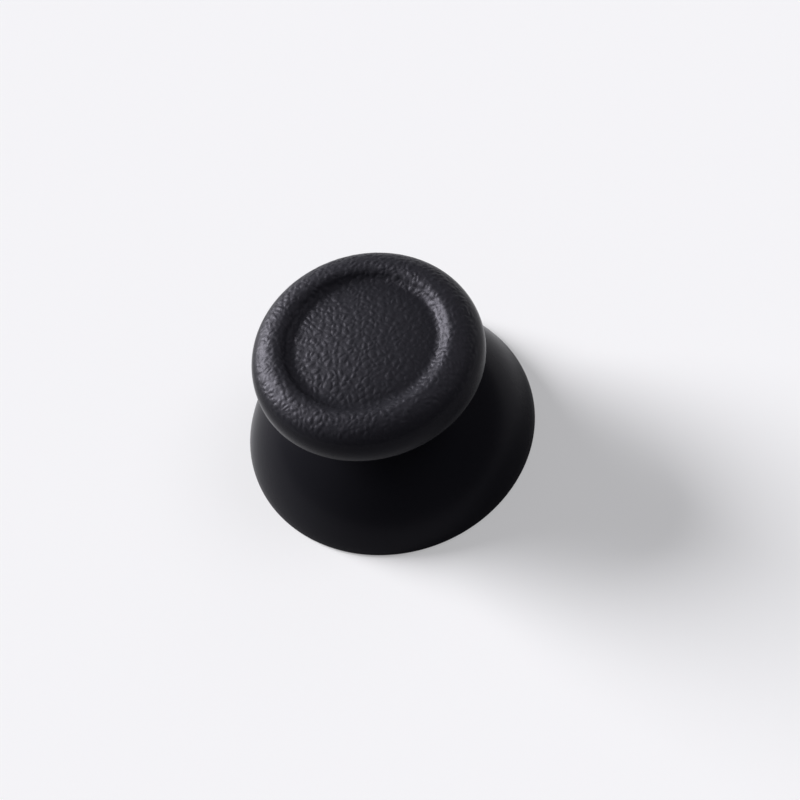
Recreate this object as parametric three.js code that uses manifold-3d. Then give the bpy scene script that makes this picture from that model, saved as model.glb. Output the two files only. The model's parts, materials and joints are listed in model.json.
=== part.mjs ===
// A thumbstick cap for a game controller: one moulded piece, turned about the stick's axis.
// Units are millimetres. +Z runs up the stick, and z = 0 is the plane of the skirt's rim.
// The outside is a grained head on a short neck above a domed skirt, called the bell here.
// The underside is hollow, with a keyed post that pushes onto the stick's shaft and four webs.

import * as THREE from 'three';
import { mergeVertices, toCreasedNormals } from 'three/addons/utils/BufferGeometryUtils.js';
import Module from 'manifold-3d';

// Bell: part of a sphere, whose centre lies below the rim
const SKIRT_RADIUS = 12.0;
const BELL_CENTRE_DROP = 4.0;
const WALL = 1.2;
const RIM_ROUND = 0.2;

// Neck: the waist between the bell and the head
const NECK_RADIUS = 5.2;
const NECK_STRAIGHT = 0.15;
const BELL_FILLET = 1.5;
const HEAD_FILLET = 1.0;

// Head: a disc with a short side, a rolled rim, a ring groove and a low dome inside it
const HEAD_RADIUS = 9.15;
const UNDERSIDE_SLOPE = THREE.MathUtils.degToRad(12);
const EDGE_ROUND = 0.25;
const SIDE_HEIGHT = 0.3;
const SHOULDER_HEIGHT = 2.45;
const SHOULDER_WIDTH = 2.25;
const INNER_SLOPE_WIDTH = 1.4;
const GROOVE_DEPTH = 0.6;
const GROOVE_ROUND = 0.9;
const DOME_RISE = 0.5;

// Socket: a round hole with two flats, a little larger than the stick's shaft
const SHAFT_DIAMETER = 4.0;
const SHAFT_FLATS = 3.0;
const SOCKET_CLEARANCE = 0.05;
const SOCKET_DEPTH = 7.0;
const LEAD_IN = 0.3;

// Post: the wall round the socket, which stops short of the rim
const POST_WALL = 1.25;
const POST_END_Z = 1.0;
const POST_END_ROUND = 0.3;
const POST_ROOT_FILLET = 0.6;

// Webs: thin walls from the post to the bell, with lower edges that rise outwards
const WEB_COUNT = 4;
const WEB_THICKNESS = 0.8;
const WEB_SETBACK = 1.4;
const WEB_RISE = 2.2;

// Fineness of the facets
const TURN_SEGMENTS = 64;
const FACET_ERROR = 0.014;
const MERGE_DISTANCE = 1e-4;
const CREASE_ANGLE = THREE.MathUtils.degToRad(35);

// Finish
const PLASTIC_COLOR = 0x17171b;
const PLASTIC_ROUGHNESS = 0.42;

// Radii and centres that follow from the sizes above
const QUARTER_TURN = Math.PI / 2;
const RIM_ROUND_R = SKIRT_RADIUS - RIM_ROUND;
const BELL_RADIUS = Math.hypot(RIM_ROUND_R, BELL_CENTRE_DROP + RIM_ROUND) + RIM_ROUND;
const CAVITY_RADIUS = BELL_RADIUS - WALL;
const SOCKET_RADIUS = SHAFT_DIAMETER / 2 + SOCKET_CLEARANCE;
const SOCKET_HALF_FLATS = SHAFT_FLATS / 2 + SOCKET_CLEARANCE;
const POST_RADIUS = SOCKET_RADIUS + POST_WALL;
const CREST_RADIUS = HEAD_RADIUS - SHOULDER_WIDTH;
const GROOVE_RADIUS = CREST_RADIUS - INNER_SLOPE_WIDTH;

// Heights that follow, from the bell up through the neck to the head
const BELL_FILLET_R = NECK_RADIUS + BELL_FILLET;
const BELL_FILLET_Z = sphereZ(BELL_RADIUS + BELL_FILLET, BELL_FILLET_R);
const HEAD_FILLET_R = NECK_RADIUS + HEAD_FILLET;
const HEAD_FILLET_Z = BELL_FILLET_Z + NECK_STRAIGHT;
const EDGE_CENTRE_R = HEAD_RADIUS - EDGE_ROUND;
const EDGE_CENTRE_Z = HEAD_FILLET_Z
  + (EDGE_CENTRE_R - HEAD_FILLET_R) * Math.tan(UNDERSIDE_SLOPE)
  + (HEAD_FILLET + EDGE_ROUND) / Math.cos(UNDERSIDE_SLOPE);
const SHOULDER_Z = EDGE_CENTRE_Z + SIDE_HEIGHT;
const CREST_Z = SHOULDER_Z + SHOULDER_HEIGHT;
const GROOVE_Z = CREST_Z - GROOVE_DEPTH;

const wasm = await Module();
wasm.setup();

// Points of an arc about (r, z), its angles in radians from the +r direction towards +z.
// Its chords stay within FACET_ERROR of the true curve. A second radius makes it an ellipse.
function arc(r, z, radius, from, to, radiusZ = radius) {
  const chordTurn = 2 * Math.acos(1 - FACET_ERROR / Math.max(radius, radiusZ));
  const steps = Math.max(2, Math.ceil(Math.abs(to - from) / chordTurn));
  const points = [];
  for (let i = 0; i <= steps; i += 1) {
    const turn = from + ((to - from) * i) / steps;
    points.push(new THREE.Vector2(r + radius * Math.cos(turn), z + radiusZ * Math.sin(turn)));
  }
  return points;
}

// Height above the rim, at radius r, of a sphere about the bell's centre
function sphereZ(sphereRadius, r) {
  return Math.sqrt(sphereRadius ** 2 - r ** 2) - BELL_CENTRE_DROP;
}

// Angle, seen from the bell's centre, of a point at radius r and height z
function bellAngle(r, z) {
  return Math.atan2(z + BELL_CENTRE_DROP, r);
}

// The dome inside the groove, from its apex on the axis out to the groove's bottom:
// two arcs that meet in a tangent, level at both ends
function domeProfile() {
  const slope = 2 * Math.atan(DOME_RISE / GROOVE_RADIUS);
  const domeRadius = GROOVE_RADIUS / Math.sin(slope) - GROOVE_ROUND;
  const domeCentreZ = GROOVE_Z + DOME_RISE - domeRadius;
  return [
    ...arc(0, domeCentreZ, domeRadius, QUARTER_TURN, QUARTER_TURN - slope),
    ...arc(GROOVE_RADIUS, GROOVE_Z + GROOVE_ROUND, GROOVE_ROUND, -QUARTER_TURN - slope, -QUARTER_TURN),
  ];
}

// The inner slope from the groove's bottom up to the crest, then the rolled shoulder
function rimRollProfile() {
  const slope = 2 * Math.atan(GROOVE_DEPTH / INNER_SLOPE_WIDTH);
  const crestRound = INNER_SLOPE_WIDTH / Math.sin(slope) - GROOVE_ROUND;
  return [
    ...arc(GROOVE_RADIUS, GROOVE_Z + GROOVE_ROUND, GROOVE_ROUND, -QUARTER_TURN, slope - QUARTER_TURN),
    ...arc(CREST_RADIUS, CREST_Z - crestRound, crestRound, QUARTER_TURN + slope, QUARTER_TURN),
    ...arc(CREST_RADIUS, SHOULDER_Z, SHOULDER_WIDTH, QUARTER_TURN, 0, SHOULDER_HEIGHT),
  ];
}

// The head's short side, its rounded lower edge and sloped underside, and the neck's upper fillet
function undersideProfile() {
  return [
    ...arc(EDGE_CENTRE_R, EDGE_CENTRE_Z, EDGE_ROUND, 0, UNDERSIDE_SLOPE - QUARTER_TURN),
    ...arc(HEAD_FILLET_R, HEAD_FILLET_Z, HEAD_FILLET, QUARTER_TURN + UNDERSIDE_SLOPE, Math.PI),
  ];
}

// The neck's lower fillet, the outside of the bell and the rim's outer round
function bellProfile() {
  const filletTurn = bellAngle(BELL_FILLET_R, BELL_FILLET_Z);
  const roundTurn = bellAngle(RIM_ROUND_R, RIM_ROUND);
  return [
    ...arc(BELL_FILLET_R, BELL_FILLET_Z, BELL_FILLET, Math.PI, Math.PI + filletTurn),
    ...arc(0, -BELL_CENTRE_DROP, BELL_RADIUS, filletTurn, roundTurn),
    ...arc(RIM_ROUND_R, RIM_ROUND, RIM_ROUND, roundTurn, -QUARTER_TURN),
  ];
}

// The rim's inner round, the hollow under the bell and the fillet at the post's root
function cavityProfile() {
  const roundR = Math.sqrt((CAVITY_RADIUS + RIM_ROUND) ** 2 - (RIM_ROUND + BELL_CENTRE_DROP) ** 2);
  const roundTurn = bellAngle(roundR, RIM_ROUND);
  const filletR = POST_RADIUS + POST_ROOT_FILLET;
  const filletZ = sphereZ(CAVITY_RADIUS - POST_ROOT_FILLET, filletR);
  const filletTurn = bellAngle(filletR, filletZ);
  return [
    ...arc(roundR, RIM_ROUND, RIM_ROUND, -QUARTER_TURN, roundTurn - Math.PI),
    ...arc(0, -BELL_CENTRE_DROP, CAVITY_RADIUS, roundTurn, filletTurn),
    ...arc(filletR, filletZ, POST_ROOT_FILLET, filletTurn, Math.PI),
  ];
}

// The post's rounded end, in to the axis
function postProfile() {
  const roundR = POST_RADIUS - POST_END_ROUND;
  const roundZ = POST_END_Z + POST_END_ROUND;
  return [
    ...arc(roundR, roundZ, POST_END_ROUND, 0, -QUARTER_TURN),
    new THREE.Vector2(0, POST_END_Z),
  ];
}

// Leaves out each point that repeats the one before it
function withoutRepeats(points) {
  return points.filter((point, i) => i === 0 || point.distanceTo(points[i - 1]) > MERGE_DISTANCE);
}

// A closed three.js geometry as a solid for the boolean operations
function toSolid(geometry) {
  geometry.deleteAttribute('normal');
  geometry.deleteAttribute('uv');
  const merged = mergeVertices(geometry, MERGE_DISTANCE);
  const corners = merged.index.array;
  const triVerts = [];
  for (let i = 0; i < corners.length; i += 3) {
    const [a, b, c] = [corners[i], corners[i + 1], corners[i + 2]];
    if (a !== b && b !== c && c !== a) {
      triVerts.push(a, b, c);
    }
  }
  const mesh = new wasm.Mesh({
    numProp: 3,
    vertProperties: merged.attributes.position.array,
    triVerts: new Uint32Array(triVerts),
  });
  return new wasm.Manifold(mesh);
}

// A profile of radii and heights turned about +Z. The lathe turns about +Y, so it is tipped up.
// The points run down the outside and back under it, which the lathe needs in the other order.
function turned(points) {
  const lathe = new THREE.LatheGeometry(withoutRepeats(points).reverse(), TURN_SEGMENTS);
  return toSolid(lathe.rotateX(QUARTER_TURN));
}

// The moulding before its webs and socket
function body() {
  return turned([
    ...domeProfile(),
    ...rimRollProfile(),
    ...undersideProfile(),
    ...bellProfile(),
    ...cavityProfile(),
    ...postProfile(),
  ]);
}

// The space inside the middle of the bell's wall, which the webs reach out to
function webSpace() {
  const reach = BELL_RADIUS - WALL / 2;
  const rimTurn = Math.asin(BELL_CENTRE_DROP / reach);
  return turned([...arc(0, -BELL_CENTRE_DROP, reach, QUARTER_TURN, rimTurn), new THREE.Vector2(0, 0)]);
}

// One web, from the axis out past the bell's wall, turned by an angle
function webPlate(turn) {
  const postZ = POST_END_Z + WEB_SETBACK;
  const outline = new THREE.Shape();
  outline.moveTo(0, postZ);
  outline.lineTo(POST_RADIUS, postZ);
  outline.lineTo(SKIRT_RADIUS, postZ + WEB_RISE);
  outline.lineTo(SKIRT_RADIUS, BELL_RADIUS);
  outline.lineTo(0, BELL_RADIUS);
  outline.closePath();
  const plate = new THREE.ExtrudeGeometry(outline, { depth: WEB_THICKNESS, bevelEnabled: false });
  plate.translate(0, 0, -WEB_THICKNESS / 2);
  plate.rotateX(QUARTER_TURN);
  plate.rotateZ(turn);
  return toSolid(plate);
}

// All the webs, half a pitch away from the socket's flats and trimmed to the bell
function webs() {
  const plates = [];
  for (let i = 0; i < WEB_COUNT; i += 1) {
    plates.push(webPlate(((i + 0.5) * 2 * Math.PI) / WEB_COUNT));
  }
  return plates.reduce((joined, plate) => joined.add(plate)).intersect(webSpace());
}

// The socket's outline: a circle with two flats across Y
function socketOutline() {
  const flat = Math.asin(SOCKET_HALF_FLATS / SOCKET_RADIUS);
  const outline = new THREE.Shape();
  outline.absarc(0, 0, SOCKET_RADIUS, -flat, flat);
  outline.absarc(0, 0, SOCKET_RADIUS, Math.PI - flat, Math.PI + flat);
  outline.closePath();
  return outline;
}

// The socket's hole with its widened mouth. The mouth's cutter starts below the post's end.
function socket() {
  const outline = socketOutline();
  const hole = new THREE.ExtrudeGeometry(outline, { depth: SOCKET_DEPTH, bevelEnabled: false });
  hole.translate(0, 0, POST_END_Z);
  const mouth = new THREE.ExtrudeGeometry(outline, {
    depth: LEAD_IN,
    bevelThickness: LEAD_IN,
    bevelSize: LEAD_IN,
    bevelSegments: 1,
  });
  mouth.translate(0, 0, POST_END_Z - LEAD_IN);
  return toSolid(hole).add(toSolid(mouth));
}

// A solid as a geometry with smooth curves and sharp creases
function toGeometry(solid) {
  const mesh = solid.getMesh();
  const geometry = new THREE.BufferGeometry();
  geometry.setAttribute('position', new THREE.BufferAttribute(mesh.vertProperties, 3));
  geometry.setIndex(new THREE.BufferAttribute(mesh.triVerts, 1));
  return toCreasedNormals(geometry, CREASE_ANGLE);
}

// The cap: the turned moulding with its webs, and the socket cut through post and webs
function thumbstickCap() {
  const plastic = new THREE.MeshStandardMaterial({
    color: PLASTIC_COLOR,
    roughness: PLASTIC_ROUGHNESS,
    metalness: 0,
  });
  const moulding = body().add(webs()).subtract(socket());
  const cap = new THREE.Mesh(toGeometry(moulding), plastic);
  cap.name = 'thumbstick_cap';
  return cap;
}

const part = new THREE.Group();
part.add(thumbstickCap());

export default part;
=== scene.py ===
"""A thumbstick cap for a game controller: one moulding with a grained head, a short neck and a domed skirt.

Lengths are in metres and angles in radians. +Z runs up the stick, and z = 0 is the plane of the skirt's rim.
The skirt is called the bell. Under it are a keyed post, which pushes onto the stick's shaft, and four webs.
"""

import json
import logging
import math
from bisect import bisect_right
from dataclasses import dataclass
from enum import Enum

import bmesh
import bpy
from mathutils import Matrix, Vector, noise


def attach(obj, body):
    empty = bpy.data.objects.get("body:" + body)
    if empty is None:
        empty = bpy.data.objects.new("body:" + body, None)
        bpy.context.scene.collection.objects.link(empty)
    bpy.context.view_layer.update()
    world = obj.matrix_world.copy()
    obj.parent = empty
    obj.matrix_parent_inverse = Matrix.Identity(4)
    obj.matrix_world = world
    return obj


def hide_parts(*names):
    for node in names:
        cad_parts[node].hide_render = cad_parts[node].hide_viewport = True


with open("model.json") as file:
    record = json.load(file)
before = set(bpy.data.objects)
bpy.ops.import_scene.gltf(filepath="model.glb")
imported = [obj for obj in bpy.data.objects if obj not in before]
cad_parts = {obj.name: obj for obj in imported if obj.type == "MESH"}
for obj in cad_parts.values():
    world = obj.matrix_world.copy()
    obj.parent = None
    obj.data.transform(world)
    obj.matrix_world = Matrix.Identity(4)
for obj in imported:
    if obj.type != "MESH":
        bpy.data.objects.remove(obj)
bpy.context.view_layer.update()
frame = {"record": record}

LOG = logging.getLogger("thumbstick_cap")
QUARTER_TURN = math.pi / 2
MERGE_DISTANCE = 1e-6
SECTORS = 6
SECTOR = 2 * math.pi / SECTORS

Point = tuple[float, float]
Colour = tuple[float, float, float]


class Join(Enum):
    """How a solid is put together with the moulding."""

    ADD = "UNION"
    CUT = "DIFFERENCE"


def arc(
    centre: Point, radius: float, start: float, end: float, steps: int, height: float | None = None
) -> list[Point]:
    """Points along an arc of the section.

    Args:
        centre: radius and height of the arc's centre.
        radius: the arc's radius, or its level half axis where it is part of an ellipse.
        start: angle of the first point, from the outward direction towards +Z.
        end: angle of the last point.
        steps: number of chords.
        height: the ellipse's upright half axis.

    Returns:
        The points, as radii and heights, both ends included.
    """
    turns = [start + (end - start) * i / steps for i in range(steps + 1)]
    upright = radius if height is None else height
    return [(centre[0] + radius * math.cos(t), centre[1] + upright * math.sin(t)) for t in turns]


def eased(share: float) -> float:
    """Share from 0 to 1 that starts and ends gently."""
    return share * share * (3 - 2 * share)


def evenly(points: list[Point], count: int) -> list[Point]:
    """Places points along a line at equal distances.

    Args:
        points: the line's corners.
        count: number of equal steps.

    Returns:
        count + 1 points, from the line's first corner to its last.
    """
    lengths = [0.0]
    for a, b in zip(points, points[1:]):
        lengths.append(lengths[-1] + math.dist(a, b))
    placed = []
    for i in range(count + 1):
        along = lengths[-1] * i / count
        k = min(bisect_right(lengths, along), len(points) - 1)
        share = (along - lengths[k - 1]) / (lengths[k] - lengths[k - 1])
        a, b = points[k - 1], points[k]
        placed.append((a[0] + (b[0] - a[0]) * share, a[1] + (b[1] - a[1]) * share))
    return placed


@dataclass(frozen=True)
class Bell:
    """The domed skirt: part of a sphere with an even wall and a flat rim."""

    skirt_radius: float = 0.0120
    centre_drop: float = 0.0040
    wall: float = 0.0012
    rim_round: float = 0.0002
    dome_steps: int = 15
    hollow_steps: int = 8
    outer_rim_steps: int = 4
    inner_rim_steps: int = 3

    @property
    def round_radius(self) -> float:
        """Radius at which the rim's outer round has its centre."""
        return self.skirt_radius - self.rim_round

    @property
    def radius(self) -> float:
        """Radius of the sphere, which the rim's outer round touches."""
        return math.hypot(self.round_radius, self.centre_drop + self.rim_round) + self.rim_round

    @property
    def cavity_radius(self) -> float:
        """Radius of the hollow under the bell."""
        return self.radius - self.wall

    @property
    def inner_round_radius(self) -> float:
        """Radius at which the rim's inner round has its centre."""
        reach = self.cavity_radius + self.rim_round
        return math.sqrt(reach**2 - (self.rim_round + self.centre_drop) ** 2)

    def height_at(self, sphere_radius: float, radius: float) -> float:
        """Height above the rim of a sphere about the bell's centre, at that radius."""
        return math.sqrt(sphere_radius**2 - radius**2) - self.centre_drop

    def angle_of(self, place: Point) -> float:
        """Angle of a point, seen from the bell's centre."""
        return math.atan2(place[1] + self.centre_drop, place[0])

    def outside(self, fillet_turn: float) -> list[Point]:
        """Section of the outside, from the neck's fillet down to the flat of the rim."""
        round_at = (self.round_radius, self.rim_round)
        round_turn = self.angle_of(round_at)
        return [
            *arc((0.0, -self.centre_drop), self.radius, fillet_turn, round_turn, self.dome_steps),
            *arc(round_at, self.rim_round, round_turn, -QUARTER_TURN, self.outer_rim_steps),
        ]

    def inside(self, root_turn: float) -> list[Point]:
        """Section of the hollow, from the flat of the rim up to the post's root."""
        round_at = (self.inner_round_radius, self.rim_round)
        round_turn = self.angle_of(round_at)
        return [
            *arc(round_at, self.rim_round, -QUARTER_TURN, round_turn - math.pi, self.inner_rim_steps),
            *arc((0.0, -self.centre_drop), self.cavity_radius, round_turn, root_turn, self.hollow_steps),
        ]


@dataclass(frozen=True)
class Head:
    """The disc on top: a short side, a rolled rim, a ring groove and a low dome inside it."""

    radius: float = 0.00915
    underside_slope: float = math.radians(12)
    edge_round: float = 0.00025
    side_height: float = 0.0003
    shoulder_height: float = 0.00245
    shoulder_width: float = 0.00225
    inner_slope_width: float = 0.0014
    groove_depth: float = 0.0006
    groove_round: float = 0.0009
    dome_rise: float = 0.0005
    dome_steps: int = 80
    groove_steps: int = 60
    crest_steps: int = 40
    shoulder_steps: int = 90

    @property
    def edge_radius(self) -> float:
        """Radius at which the lower edge's round has its centre."""
        return self.radius - self.edge_round

    @property
    def crest_radius(self) -> float:
        """Radius of the rolled rim's crest."""
        return self.radius - self.shoulder_width

    @property
    def groove_radius(self) -> float:
        """Radius of the groove's bottom."""
        return self.crest_radius - self.inner_slope_width

    def top(self, shoulder_z: float) -> list[Point]:
        """Section of the grained top, from the dome's apex out to the foot of the shoulder."""
        crest_z = shoulder_z + self.shoulder_height
        groove_z = crest_z - self.groove_depth
        groove_at = (self.groove_radius, groove_z + self.groove_round)
        rise = 2 * math.atan(self.dome_rise / self.groove_radius)
        dome_radius = self.groove_radius / math.sin(rise) - self.groove_round
        dome_at = (0.0, groove_z + self.dome_rise - dome_radius)
        slope = 2 * math.atan(self.groove_depth / self.inner_slope_width)
        crest_round = self.inner_slope_width / math.sin(slope) - self.groove_round
        crest_at = (self.crest_radius, crest_z - crest_round)
        shoulder_at = (self.crest_radius, shoulder_z)
        dome = arc(dome_at, dome_radius, QUARTER_TURN, QUARTER_TURN - rise, self.dome_steps)
        groove_turns = (-QUARTER_TURN - rise, slope - QUARTER_TURN)
        groove = arc(groove_at, self.groove_round, *groove_turns, self.groove_steps)
        crest = arc(crest_at, crest_round, QUARTER_TURN + slope, QUARTER_TURN, self.crest_steps)
        shoulder = arc(
            shoulder_at, self.shoulder_width, QUARTER_TURN, 0.0, self.shoulder_steps, self.shoulder_height
        )
        return [*dome, *groove[1:], *crest[1:], *shoulder[1:]]


@dataclass(frozen=True)
class Neck:
    """The waist between the bell and the head, with a fillet at each end."""

    bell: Bell
    head: Head
    radius: float = 0.0052
    straight: float = 0.00015
    bell_fillet: float = 0.0015
    head_fillet: float = 0.0010
    edge_steps: int = 6
    head_fillet_steps: int = 6
    bell_fillet_steps: int = 7

    @property
    def lower_centre(self) -> Point:
        """Centre of the fillet that runs into the bell."""
        r = self.radius + self.bell_fillet
        return r, self.bell.height_at(self.bell.radius + self.bell_fillet, r)

    @property
    def upper_centre(self) -> Point:
        """Centre of the fillet that runs into the head's underside."""
        return self.radius + self.head_fillet, self.lower_centre[1] + self.straight

    @property
    def edge_centre(self) -> Point:
        """Centre of the head's rounded lower edge."""
        r, z = self.upper_centre
        slope = self.head.underside_slope
        out = (self.head.edge_radius - r) * math.tan(slope)
        return self.head.edge_radius, z + out + (self.head_fillet + self.head.edge_round) / math.cos(slope)

    @property
    def shoulder_z(self) -> float:
        """Height of the foot of the head's shoulder."""
        return self.edge_centre[1] + self.head.side_height

    def section(self) -> list[Point]:
        """Section from the foot of the shoulder, round the lower edge and down the neck."""
        slope = self.head.underside_slope
        turn = self.bell.angle_of(self.lower_centre)
        return [
            (self.head.radius, self.shoulder_z),
            *arc(self.edge_centre, self.head.edge_round, 0.0, slope - QUARTER_TURN, self.edge_steps),
            *arc(self.upper_centre, self.head_fillet, QUARTER_TURN + slope, math.pi, self.head_fillet_steps),
            *arc(self.lower_centre, self.bell_fillet, math.pi, math.pi + turn, self.bell_fillet_steps),
        ]


@dataclass(frozen=True)
class Post:
    """The wall round the keyed socket, which stops short of the rim, and the webs that hold it."""

    bell: Bell
    shaft_diameter: float = 0.0040
    shaft_flats: float = 0.0030
    clearance: float = 0.00005
    socket_depth: float = 0.0070
    lead_in: float = 0.0003
    wall: float = 0.00125
    end_z: float = 0.0010
    end_round: float = 0.0003
    root_fillet: float = 0.0006
    web_pairs: int = 2
    web_thickness: float = 0.0008
    web_setback: float = 0.0014
    web_rise: float = 0.0022
    root_steps: int = 4
    end_steps: int = 3
    socket_steps: int = 24
    web_steps: int = 16

    @property
    def socket_radius(self) -> float:
        """Radius of the socket's round sides."""
        return self.shaft_diameter / 2 + self.clearance

    @property
    def half_flats(self) -> float:
        """Distance from the axis to each of the socket's flats."""
        return self.shaft_flats / 2 + self.clearance

    @property
    def radius(self) -> float:
        """Outer radius of the post."""
        return self.socket_radius + self.wall

    @property
    def root_centre(self) -> Point:
        """Centre of the fillet where the post leaves the bell."""
        r = self.radius + self.root_fillet
        return r, self.bell.height_at(self.bell.cavity_radius - self.root_fillet, r)

    def section(self) -> list[Point]:
        """Section from the fillet at the root, down the post and in to the axis."""
        turn = self.bell.angle_of(self.root_centre)
        end_at = (self.radius - self.end_round, self.end_z + self.end_round)
        return [
            *arc(self.root_centre, self.root_fillet, turn, math.pi, self.root_steps),
            *arc(end_at, self.end_round, 0.0, -QUARTER_TURN, self.end_steps),
            (0.0, self.end_z),
        ]

    def socket_outline(self, growth: float) -> list[Point]:
        """Outline of the socket across its axis, a circle with two flats, grown all round."""
        radius = self.socket_radius + growth
        flat = math.asin((self.half_flats + growth) / radius)
        sides = [arc((0.0, 0.0), radius, mid - flat, mid + flat, self.socket_steps) for mid in (0.0, math.pi)]
        return [corner for side in sides for corner in side]

    def socket(self) -> bmesh.types.BMesh:
        """Solid of the socket's hole, with its widened mouth."""
        levels = (
            (self.end_z - self.lead_in, self.lead_in),
            (self.end_z, self.lead_in),
            (self.end_z + self.lead_in, 0.0),
            (self.end_z + self.socket_depth, 0.0),
        )
        hole = bmesh.new()
        rings = []
        for z, growth in levels:
            corners = [hole.verts.new((x, y, z)) for x, y in self.socket_outline(growth)]
            rings.append([hole.edges.new(pair) for pair in zip(corners, corners[1:] + corners[:1])])
        for lower, upper in zip(rings, rings[1:]):
            bmesh.ops.bridge_loops(hole, edges=lower + upper)
        for ring in (rings[0], rings[-1]):
            bmesh.ops.contextual_create(hole, geom=ring)
        bmesh.ops.recalc_face_normals(hole, faces=hole.faces)
        return hole

    def web_outline(self) -> list[Point]:
        """Outline of half a pair of webs: out along the lower edge, then up inside the bell's wall."""
        reach = self.bell.radius - self.bell.wall / 2
        start = Vector((self.radius, self.end_z + self.web_setback + self.bell.centre_drop))
        along = Vector((self.bell.skirt_radius - self.radius, self.web_rise)).normalized()
        out = -start.dot(along) + math.sqrt(start.dot(along) ** 2 - start.length_squared + reach**2)
        corner = start + along * out
        turn = math.atan2(corner.y, corner.x)
        up = arc((0.0, -self.bell.centre_drop), reach, turn, QUARTER_TURN, self.web_steps)
        return [(self.radius, self.end_z + self.web_setback), *up]

    def web_pair(self, turn: float) -> bmesh.types.BMesh:
        """Solid of two opposite webs, as one plate through the axis, turned by an angle."""
        half = self.web_outline()
        outline = half + [(-x, z) for x, z in reversed(half[:-1])]
        plate = bmesh.new()
        face = plate.faces.new([plate.verts.new((x, -self.web_thickness / 2, z)) for x, z in outline])
        grown = bmesh.ops.extrude_face_region(plate, geom=[face])["geom"]
        moved = [v for v in grown if isinstance(v, bmesh.types.BMVert)]
        bmesh.ops.translate(plate, verts=moved, vec=(0.0, self.web_thickness, 0.0))
        bmesh.ops.rotate(plate, verts=plate.verts, cent=(0, 0, 0), matrix=Matrix.Rotation(turn, 3, "Z"))
        bmesh.ops.recalc_face_normals(plate, faces=plate.faces)
        return plate


@dataclass(frozen=True)
class LeatherGrain:
    """The leather grain that the mould leaves on the head, in rounded pebbles and fine creases.

    Lengths other than the pebble's own and the depth are in pebbles.
    """

    pebble: float = 0.0005
    depth: float = 0.000062
    crease: float = 0.5
    waver: float = 0.45
    wavers_per_pebble: float = 0.8
    ripple: float = 0.35
    ripples_per_pebble: float = 1.7
    seed: int = 11

    def rise(self, place: Vector) -> float:
        """Share of the full depth, 0 in a crease and 1 on top of a pebble, at a place in the frame."""
        spot = place / self.pebble
        spot = spot + noise.noise_vector(spot * self.wavers_per_pebble) * self.waver
        nearest, second = noise.voronoi(spot)[0][:2]
        pebble = eased(min(1.0, (second - nearest) / self.crease))
        ripple = 0.5 + 0.5 * noise.noise(spot * self.ripples_per_pebble)
        return pebble * (1 - self.ripple) + ripple * self.ripple

    def press(self, mesh: bmesh.types.BMesh, foot_z: float, full_z: float) -> None:
        """Presses the grain into the top of a mesh, along its normals and only inwards.

        Args:
            mesh: the moulding.
            foot_z: height below which the surface is smooth.
            full_z: height above which the grain has its full depth.
        """
        noise.seed_set(self.seed)
        mesh.normal_update()
        grained = [(v, v.normal.copy()) for v in mesh.verts if v.co.z > foot_z]
        for vert, normal in grained:
            fade = eased(min(1.0, (vert.co.z - foot_z) / (full_z - foot_z)))
            vert.co -= normal * (self.depth * fade * (1 - self.rise(vert.co)))


class Number:
    """A shader socket that carries a number, so that shader maths reads as Python."""

    def __init__(self, shader: "Shader", socket: bpy.types.NodeSocket) -> None:
        """Wraps a socket of that shader."""
        self.shader = shader
        self.socket = socket

    def __add__(self, other: "Number | float") -> "Number":
        """Sum of two numbers."""
        return self.shader.maths("ADD", self, other)

    def __sub__(self, other: "Number | float") -> "Number":
        """Difference of two numbers."""
        return self.shader.maths("SUBTRACT", self, other)

    def __rsub__(self, other: float) -> "Number":
        """Difference of a plain number and this one."""
        return self.shader.maths("SUBTRACT", other, self)

    def __mul__(self, other: "Number | float") -> "Number":
        """Product of two numbers."""
        return self.shader.maths("MULTIPLY", self, other)

    __radd__ = __add__
    __rmul__ = __mul__


class Shader:
    """The node tree of a material or of the world, built node by node."""

    def __init__(self, owner: bpy.types.Material | bpy.types.World) -> None:
        """Empties the owner's node tree."""
        owner.use_nodes = True
        self.tree = owner.node_tree
        self.tree.nodes.clear()

    def node(self, kind: str, settings: dict | None = None, inputs: dict | None = None) -> bpy.types.Node:
        """Adds a node.

        Args:
            kind: the node's type.
            settings: the node's own settings, which are set first.
            inputs: values or links of its sockets, by name or place.

        Returns:
            The new node.
        """
        made = self.tree.nodes.new(kind)
        for name, value in (settings or {}).items():
            setattr(made, name, value)
        for key, value in (inputs or {}).items():
            source = value.socket if isinstance(value, Number) else value
            if isinstance(source, bpy.types.NodeSocket):
                self.tree.links.new(source, made.inputs[key])
            else:
                made.inputs[key].default_value = source
        return made

    def number(self, node: bpy.types.Node, output: str = "Result") -> Number:
        """An output of a node, for use in shader maths."""
        return Number(self, node.outputs[output])

    def maths(self, operation: str, first: Number | float, second: Number | float) -> Number:
        """Result of a Math node on two numbers."""
        made = self.node("ShaderNodeMath", {"operation": operation}, {0: first, 1: second})
        return Number(self, made.outputs["Value"])

    def noise(self, place: bpy.types.NodeSocket, size: float, detail: float, roughness: float) -> Number:
        """Noise from 0 to 1 whose patches are of that size, with finer detail on them."""
        values = {"Vector": place, "Scale": 1 / size, "Detail": detail, "Roughness": roughness}
        return Number(self, self.node("ShaderNodeTexNoise", inputs=values).outputs["Fac"])

    def finish(self, surface: bpy.types.Node, output: str = "ShaderNodeOutputMaterial") -> None:
        """Links the node that makes the surface to the tree's output."""
        self.node(output, inputs={"Surface": surface.outputs[0]})


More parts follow.
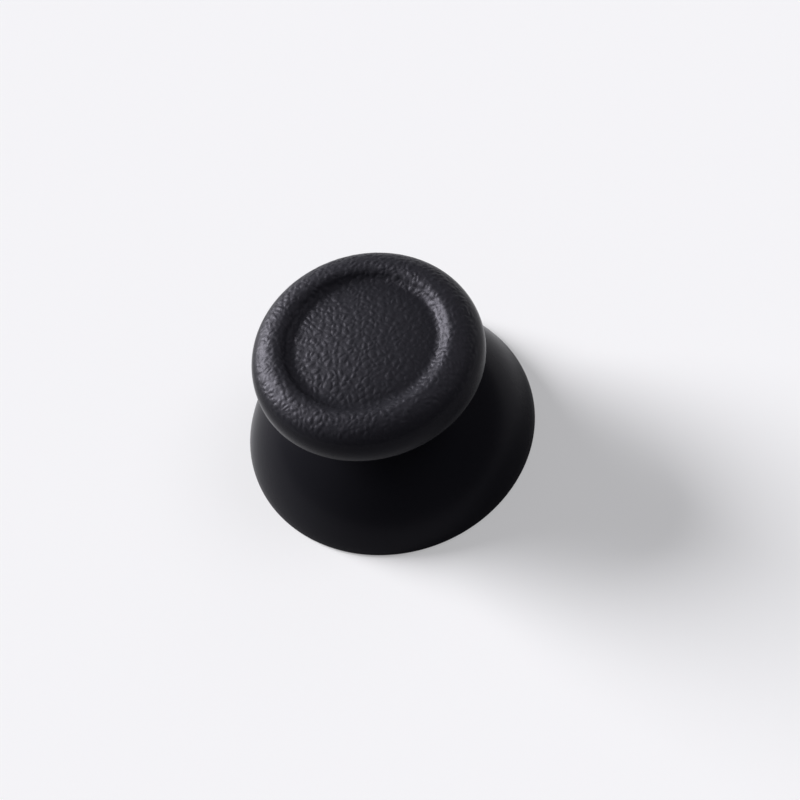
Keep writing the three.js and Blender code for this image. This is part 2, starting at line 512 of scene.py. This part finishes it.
@dataclass(frozen=True)
class CapPlastic:
    """Near-black plastic, matt on the grained head and satin-gloss on its side, the neck and the bell."""

    colour: Colour
    foot_z: float
    full_z: float
    worn: float = 1.5
    grained_roughness: float = 0.52
    smooth_roughness: float = 0.24
    grained_specular: float = 0.31
    smooth_specular: float = 0.052
    specular_tint: Colour = (0.9, 0.87, 1.0)
    mottle: float = 0.06
    pore: float = 0.00015
    pore_depth: float = 0.000012
    patch: float = 0.0035

    def material(self) -> bpy.types.Material:
        """Builds the material."""
        material = bpy.data.materials.new("near_black_plastic")
        shader = Shader(material)
        place = shader.node("ShaderNodeTexCoord").outputs["Object"]
        height = shader.number(shader.node("ShaderNodeSeparateXYZ", inputs={"Vector": place}), "Z")
        grained = shader.number(shader.node(
            "ShaderNodeMapRange",
            {"interpolation_type": "SMOOTHSTEP"},
            {"Value": height, "From Min": self.foot_z, "From Max": self.full_z},
        ))
        pores = shader.noise(place, self.pore, detail=3.0, roughness=0.6)
        patches = shader.noise(place, self.patch, detail=2.0, roughness=0.5)
        relief = pores * grained
        bump = shader.node(
            "ShaderNodeBump",
            inputs={"Strength": 1.0, "Distance": self.pore_depth, "Height": relief},
        )
        finish = self.grained_roughness * grained + self.smooth_roughness * (1.0 - grained)
        roughness = finish + (patches - 0.5) * self.mottle
        worn = tuple(channel * self.worn for channel in self.colour)
        colour = shader.node(
            "ShaderNodeMix",
            {"data_type": "RGBA"},
            {"Factor": relief, 6: (*self.colour, 1.0), 7: (*worn, 1.0)},
        )
        matt, glossy = (
            shader.node("ShaderNodeBsdfPrincipled", inputs={
                "Base Color": colour.outputs[2],
                "Roughness": roughness,
                "Normal": bump.outputs["Normal"],
                "Specular IOR Level": level,
                "Specular Tint": (*self.specular_tint, 1.0),
            })
            for level in (self.grained_specular, self.smooth_specular)
        )
        surface = shader.node(
            "ShaderNodeMixShader",
            inputs={"Fac": grained, 1: glossy.outputs["BSDF"], 2: matt.outputs["BSDF"]},
        )
        shader.finish(surface)
        return material


@dataclass(frozen=True)
class Moulding:
    """The whole cap as one closed mesh."""

    bell: Bell
    head: Head
    neck: Neck
    post: Post
    grain: LeatherGrain
    net_rings: int = 122
    crease_angle: float = math.radians(35)
    grain_foot: float = 0.0012
    grain_full: float = 0.0021
    matt_foot: float = 0.0010
    matt_full: float = 0.0023

    @property
    def grain_z(self) -> tuple[float, float]:
        """Heights at which the grain starts and at which it reaches its full depth."""
        return self.neck.shoulder_z + self.grain_foot, self.neck.shoulder_z + self.grain_full

    @property
    def matt_z(self) -> tuple[float, float]:
        """Heights at which the matt finish of the head starts and at which it is complete."""
        return self.neck.shoulder_z + self.matt_foot, self.neck.shoulder_z + self.matt_full

    def head_top(self) -> bmesh.types.BMesh:
        """The top of the head, as an even net of triangles that is fine enough for the grain."""
        net = bmesh.new()
        bmesh.ops.create_circle(net, cap_ends=True, cap_tris=True, radius=1.0, segments=SECTORS)
        bmesh.ops.subdivide_edges(net, edges=net.edges, cuts=self.net_rings - 1, use_grid_fill=True)
        rings = evenly(self.head.top(self.neck.shoulder_z), self.net_rings)
        # In a sector, ring is the share of the way out, and across / ring the share from side to side.
        for vert in net.verts:
            turn = math.atan2(vert.co.y, vert.co.x)
            start = QUARTER_TURN + SECTOR * math.floor((turn - QUARTER_TURN) / SECTOR)
            local = Matrix.Rotation(-start, 2) @ vert.co.to_2d()
            across = local.y / math.sin(SECTOR)
            ring = local.x + across * (1 - math.cos(SECTOR))
            index = round(ring * self.net_rings)
            r, z = rings[index]
            placed = start + SECTOR * (across / ring if index else 0.0)
            vert.co = (r * math.cos(placed), r * math.sin(placed), z)
        return net

    def lower_section(self) -> list[Point]:
        """Section from the foot of the head's shoulder, down the outside and back under to the axis."""
        fillet_turn = self.bell.angle_of(self.neck.lower_centre)
        root_turn = self.bell.angle_of(self.post.root_centre)
        points = [
            *self.neck.section(),
            *self.bell.outside(fillet_turn),
            *self.bell.inside(root_turn),
            *self.post.section(),
        ]
        return [points[0]] + [b for a, b in zip(points, points[1:]) if math.dist(a, b) > MERGE_DISTANCE]

    def turned(self) -> bmesh.types.BMesh:
        """The moulding without webs and socket: the lower section turned in six sectors, and the top."""
        shell = bmesh.new()
        corners = [shell.verts.new((r, 0.0, z)) for r, z in self.lower_section()]
        line = [shell.edges.new(pair) for pair in zip(corners, corners[1:])]
        bmesh.ops.spin(
            shell,
            geom=corners + line,
            cent=(0, 0, 0),
            axis=(0, 0, 1),
            angle=SECTOR,
            steps=self.net_rings,
        )
        sector = shell.verts[:] + shell.edges[:] + shell.faces[:]
        for i in range(1, SECTORS):
            copied = bmesh.ops.duplicate(shell, geom=sector)["geom"]
            moved = [v for v in copied if isinstance(v, bmesh.types.BMVert)]
            bmesh.ops.rotate(shell, verts=moved, cent=(0, 0, 0), matrix=Matrix.Rotation(i * SECTOR, 3, "Z"))
        top = to_object(self.head_top(), "head_top").data
        shell.from_mesh(top)
        bpy.data.meshes.remove(top)
        bmesh.ops.remove_doubles(shell, verts=shell.verts, dist=MERGE_DISTANCE)
        bmesh.ops.recalc_face_normals(shell, faces=shell.faces)
        return shell

    def build(self) -> bpy.types.Object:
        """Builds the cap, presses its grain and returns it as an object."""
        cap = to_object(self.turned(), "cap")
        for i in range(self.post.web_pairs):
            join(cap, self.post.web_pair((i + 0.5) * math.pi / self.post.web_pairs), Join.ADD)
        join(cap, self.post.socket(), Join.CUT)
        mesh = bmesh.new()
        mesh.from_mesh(cap.data)
        mesh.normal_update()
        for face in mesh.faces:
            face.smooth = True
        for edge in mesh.edges:
            edge.smooth = edge.calc_face_angle(0.0) < self.crease_angle
        self.grain.press(mesh, *self.grain_z)
        mesh.to_mesh(cap.data)
        mesh.free()
        return cap


def to_object(mesh: bmesh.types.BMesh, name: str) -> bpy.types.Object:
    """Makes an object of a bmesh, which is freed, and links it to the scene."""
    data = bpy.data.meshes.new(name)
    mesh.to_mesh(data)
    mesh.free()
    made = bpy.data.objects.new(name, data)
    bpy.context.scene.collection.objects.link(made)
    return made


def join(body: bpy.types.Object, tool: bmesh.types.BMesh, how: Join) -> None:
    """Adds a solid to a body's mesh or cuts it out.

    Args:
        body: the object that is changed.
        tool: the other solid, which is used up.
        how: whether it is added or cut out.
    """
    other = to_object(tool, "tool")
    modifier = body.modifiers.new("join", "BOOLEAN")
    modifier.operation = how.value
    modifier.solver = "MANIFOLD"
    modifier.object = other
    depsgraph = bpy.context.evaluated_depsgraph_get()
    joined = bpy.data.meshes.new_from_object(body.evaluated_get(depsgraph))
    body.modifiers.clear()
    body.data, before = joined, body.data
    bpy.data.meshes.remove(before)
    bpy.data.meshes.remove(other.data)


@dataclass(frozen=True)
class SoftLight:
    """A broad lamp, far away."""

    name: str
    azimuth: float
    elevation: float
    strength: float
    spread: float = math.radians(30)
    colour: Colour = (0.97, 0.96, 1.0)
    distance: float = 0.3

    def place(self) -> None:
        """Puts the lamp in the scene, shining towards the object."""
        lamp = bpy.data.lights.new(self.name, "SUN")
        lamp.angle = self.spread
        lamp.energy = self.strength
        lamp.color = self.colour
        made = bpy.data.objects.new(self.name, lamp)
        towards = Vector((
            math.cos(self.azimuth) * math.cos(self.elevation),
            math.sin(self.azimuth) * math.cos(self.elevation),
            math.sin(self.elevation),
        ))
        made.rotation_euler = towards.to_track_quat("Z", "Y").to_euler()
        made.location = towards * self.distance
        bpy.context.scene.collection.objects.link(made)


@dataclass(frozen=True)
class Studio:
    """Plain pale floor, soft lamps and the camera at the photograph's angle."""

    lamps: tuple[SoftLight, ...]
    floor_half: float = 30.0
    floor_colour: Colour = (0.93, 0.93, 0.92)
    whiteness: float = 0.33
    surround: Colour = (0.09, 0.09, 0.11)
    backdrop: Colour = (0.905, 0.905, 0.93)
    mirrored: float = 0.1
    elevation: float = math.radians(57.5)
    roll: float = math.radians(-17.318)
    distance: float = 0.120
    aim_height: float = 0.007
    pan_right: float = 0.001859
    pan_up: float = -0.001507
    lens: float = 68.0
    sensor: float = 36.0
    clip_near: float = 0.005
    clip_far: float = 100.0

    def shown(self, shader: Shader, to_camera: float) -> Number:
        """How much of the plain pale background a ray is shown.

        Args:
            shader: the floor's or the world's.
            to_camera: the share that the camera is shown.

        Returns:
            The share for the ray that asks. A diffuse ray is shown none.
        """
        path = shader.node("ShaderNodeLightPath")
        camera, glossy, clear = (
            shader.number(path, f"Is {kind} Ray") for kind in ("Camera", "Glossy", "Transmission")
        )
        return camera * to_camera + self.mirrored * (glossy + clear)

    def floor(self) -> None:
        """Lays the floor, which keeps its shadows and is shown part of the way to white."""
        sheet = bmesh.new()
        bmesh.ops.create_grid(sheet, x_segments=8, y_segments=8, size=self.floor_half)
        made = to_object(sheet, "floor")
        material = bpy.data.materials.new("pale_floor")
        shader = Shader(material)
        lit = shader.node("ShaderNodeBsdfDiffuse", inputs={"Color": (*self.floor_colour, 1.0)})
        white = shader.node("ShaderNodeEmission", inputs={"Strength": 1.0})
        surface = shader.node("ShaderNodeMixShader", inputs={
            "Fac": self.shown(shader, self.whiteness),
            1: lit.outputs["BSDF"],
            2: white.outputs["Emission"],
        })
        shader.finish(surface)
        made.data.materials.append(material)

    def surroundings(self) -> None:
        """Gives the world a dim colour, which the camera sees as the pale backdrop."""
        world = bpy.data.worlds.new("surround")
        shader = Shader(world)
        dim, pale = (
            shader.node("ShaderNodeBackground", inputs={"Color": (*colour, 1.0), "Strength": 1.0})
            for colour in (self.surround, self.backdrop)
        )
        surface = shader.node("ShaderNodeMixShader", inputs={
            "Fac": self.shown(shader, 1.0),
            1: dim.outputs["Background"],
            2: pale.outputs["Background"],
        })
        shader.finish(surface, "ShaderNodeOutputWorld")
        bpy.context.scene.world = world

    def camera(self) -> None:
        """Sets up the camera, which looks down at the cap and leans to one side."""
        back = Vector((0.0, -math.cos(self.elevation), math.sin(self.elevation)))
        level_up = Vector((0.0, math.sin(self.elevation), math.cos(self.elevation)))
        level_right = Vector((1.0, 0.0, 0.0))
        right = level_right * math.cos(self.roll) + level_up * math.sin(self.roll)
        up = level_up * math.cos(self.roll) - level_right * math.sin(self.roll)
        aim = Vector((0.0, 0.0, self.aim_height)) + right * self.pan_right + up * self.pan_up
        data = bpy.data.cameras.new("camera")
        data.lens = self.lens
        data.sensor_width = self.sensor
        data.clip_start = self.clip_near
        data.clip_end = self.clip_far
        made = bpy.data.objects.new("camera", data)
        turned = Matrix((right, up, back)).transposed().to_4x4()
        made.matrix_world = Matrix.Translation(aim + back * self.distance) @ turned
        bpy.context.scene.collection.objects.link(made)
        bpy.context.scene.camera = made

    def set_up(self) -> None:
        """Puts the floor, lamps, surroundings and camera in the scene."""
        self.floor()
        for lamp in self.lamps:
            lamp.place()
        self.surroundings()
        self.camera()
        bpy.context.scene.view_settings.view_transform = "Standard"


def main() -> None:
    """Builds the cap and the studio, and reports each piece."""
    logging.basicConfig(level=logging.INFO, format="%(name)s: %(message)s")
    bell, head = Bell(), Head()
    moulding = Moulding(bell, head, Neck(bell, head), Post(bell), LeatherGrain())
    cap = moulding.build()
    slot = frame["record"]["materials"][0]
    cap.data.materials.clear()
    cap.data.materials.append(CapPlastic(tuple(slot["base_color"]), *moulding.matt_z).material())
    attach(cap, "root")
    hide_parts("thumbstick_cap")
    triangles = sum(len(face.vertices) - 2 for face in cap.data.polygons)
    LOG.info("cap: %d triangles", triangles)

    studio = Studio((
        SoftLight("window", azimuth=math.radians(139), elevation=math.radians(23), strength=6.0),
        SoftLight("side", azimuth=math.radians(0), elevation=math.radians(55), strength=0.4),
        SoftLight("behind", azimuth=math.radians(45), elevation=math.radians(36), strength=0.08),
    ))
    studio.set_up()


if __name__ == "__main__":
    main()
